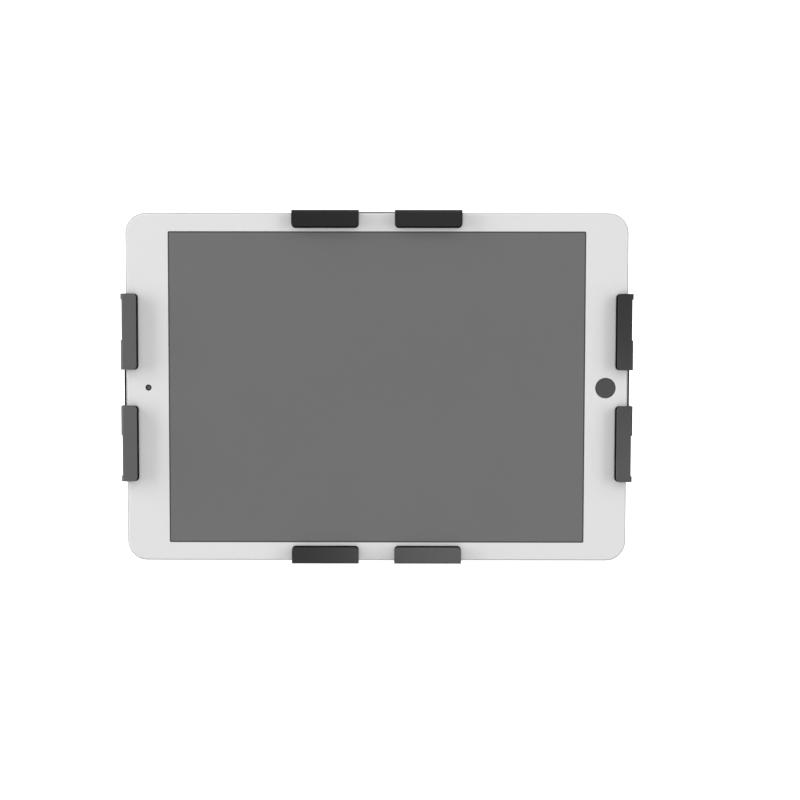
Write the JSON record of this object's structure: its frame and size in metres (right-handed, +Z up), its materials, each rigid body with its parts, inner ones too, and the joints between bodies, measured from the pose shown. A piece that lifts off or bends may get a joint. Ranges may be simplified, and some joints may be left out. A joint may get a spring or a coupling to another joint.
{
  "type": "tablet security kiosk stand",
  "caption": "Countertop stand that locks a landscape tablet in folded metal claws on a self-centring clamp head, with a tilting, turning neck and a weighted base.",
  "frame": {"origin": "centre of the underside of the base's rubber sheet, on the counter", "axes": "+Z up, -Y towards the user, +X to the user's right"},
  "size_m": [0.2554, 0.289, 0.239],
  "materials": {
    "black_coat": "fine satin powder coat on sheet and plate steel",
    "black_rubber": "moulded matt rubber",
    "nylon": "black acetal bearing plastic",
    "zinc_screw": "zinc plated steel",
    "gear_steel": "ground steel",
    "tablet_aluminium": "fine bead-blasted anodised aluminium",
    "tablet_glass": "glass printed white on its back, with a grey blank screen",
    "button_grey": "glossy round button",
    "display_stack": "display module",
    "battery_foil": "cell pouch",
    "circuit_board": "circuit board",
    "lens_glass": "dark glass"
  },
  "bodies": {
    "base": {"base_plate": "black_coat", "base_rubber_sheet": "black_rubber", "cable_grommet": "black_rubber", "lock_insert": "zinc_screw", "swivel_bush": "nylon"},
    "neck": {"turntable": "black_coat", "swivel_bolt": "zinc_screw", "swivel_washer": "zinc_screw", "swivel_nut": "zinc_screw", "neck_foot": "black_coat", "foot_screws": "zinc_screw", "neck_tube": "black_coat", "neck_yoke": "black_coat", "tilt_bolt": "zinc_screw", "tilt_nut": "zinc_screw", "tilt_friction_washers": "nylon"},
    "tilt_block": {"tilt_block": "black_coat", "tilt_bush": "nylon", "rotor_bush": "nylon", "rotor_grub_screws": "zinc_screw"},
    "head": {"rotor_plate": "black_coat", "rotor_screws": "zinc_screw", "housing_rear": "black_coat", "arm_guide": "nylon", "housing_front": "black_coat", "gear_post": "gear_steel", "housing_screws": "zinc_screw", "side_clamp_screw": "zinc_screw", "upright_clamp_screw": "zinc_screw", "tablet_rest_pads": "black_rubber", "tablet_back_shell": "tablet_aluminium", "tablet_front_glass": "tablet_glass", "tablet_display": "display_stack", "tablet_battery_cells": "battery_foil", "tablet_logic_board": "circuit_board", "tablet_front_camera": "lens_glass", "tablet_rear_camera": "lens_glass", "tablet_charge_port": "tablet_aluminium", "tablet_headphone_jack": "tablet_aluminium"},
    "arm_left": {"arm_left": "black_coat", "arm_left_liners": "black_rubber"},
    "arm_right": {"arm_right": "black_coat", "arm_right_liners": "black_rubber"},
    "arm_top": {"arm_top": "black_coat", "arm_top_lip_pads": "black_rubber", "arm_top_back_pads": "black_rubber"},
    "arm_bottom": {"arm_bottom": "black_coat", "arm_bottom_lip_pads": "black_rubber", "arm_bottom_back_pads": "black_rubber"},
    "pinion_side": {"pinion_side": "gear_steel"},
    "pinion_upright": {"pinion_upright": "gear_steel"},
    "home_button": {"tablet_home_button": "button_grey"},
    "sleep_button": {"tablet_sleep_button": "tablet_aluminium"},
    "volume_up_button": {"tablet_volume_up_button": "tablet_aluminium"},
    "volume_down_button": {"tablet_volume_down_button": "tablet_aluminium"}
  },
  "joints": [
    {"name": "base_swivel", "type": "hinge", "parent": "base", "child": "neck", "pos_m": [0, 0, 0.0161], "axis": [0, 0, 1], "range_deg": [-170, 170]},
    {"name": "head_tilt", "type": "hinge", "parent": "neck", "child": "tilt_block", "pos_m": [0, -0.088, 0.138], "axis": [1, 0, 0], "range_deg": [-30, 15]},
    {"name": "head_rotate", "type": "hinge", "parent": "tilt_block", "child": "head", "pos_m": [0, -0.088, 0.138], "axis": [0, -0.7071, 0.7071], "range_deg": [-90, 90]},
    {"name": "arm_left_slide", "type": "slide", "parent": "head", "child": "arm_left", "axis": [-1, 0, 0], "range_m": [0, 0.0314]},
    {"name": "arm_right_slide", "type": "slide", "parent": "head", "child": "arm_right", "axis": [1, 0, 0], "range_m": [0, 0.0314]},
    {"name": "pinion_side_spin", "type": "hinge", "parent": "head", "child": "pinion_side", "pos_m": [0, -0.11982, 0.16982], "axis": [0, -0.7071, 0.7071], "range_deg": [-2, 182]},
    {"name": "arm_top_slide", "type": "slide", "parent": "head", "child": "arm_top", "axis": [0, 0.7071, 0.7071], "range_m": [0, 0.0314]},
    {"name": "arm_bottom_slide", "type": "slide", "parent": "head", "child": "arm_bottom", "axis": [0, -0.7071, -0.7071], "range_m": [0, 0.0314]},
    {"name": "pinion_upright_spin", "type": "hinge", "parent": "head", "child": "pinion_upright", "pos_m": [0, -0.11982, 0.16982], "axis": [0, -0.7071, 0.7071], "range_deg": [-2, 182]},
    {"name": "home_button_press", "type": "slide", "parent": "head", "child": "home_button", "axis": [0, 0.7071, -0.7071], "range_m": [0, 0.0003], "stiffness_N_per_m": 1500, "springref_m": -0.0002},
    {"name": "sleep_button_press", "type": "slide", "parent": "head", "child": "sleep_button", "axis": [1, 0, 0], "range_m": [0, 0.0003], "stiffness_N_per_m": 1500, "springref_m": -0.0002},
    {"name": "volume_up_press", "type": "slide", "parent": "head", "child": "volume_up_button", "axis": [0, -0.7071, -0.7071], "range_m": [0, 0.0003], "stiffness_N_per_m": 1500, "springref_m": -0.0002},
    {"name": "volume_down_press", "type": "slide", "parent": "head", "child": "volume_down_button", "axis": [0, -0.7071, -0.7071], "range_m": [0, 0.0003], "stiffness_N_per_m": 1500, "springref_m": -0.0002}
  ],
  "couplings": [
    {"joint": "arm_right_slide", "follows": "arm_left_slide", "ratio": 1},
    {"joint": "pinion_side_spin", "follows": "arm_left_slide", "rad_per_m": 100},
    {"joint": "arm_bottom_slide", "follows": "arm_top_slide", "ratio": 1},
    {"joint": "pinion_upright_spin", "follows": "arm_top_slide", "rad_per_m": 100}
  ]
}
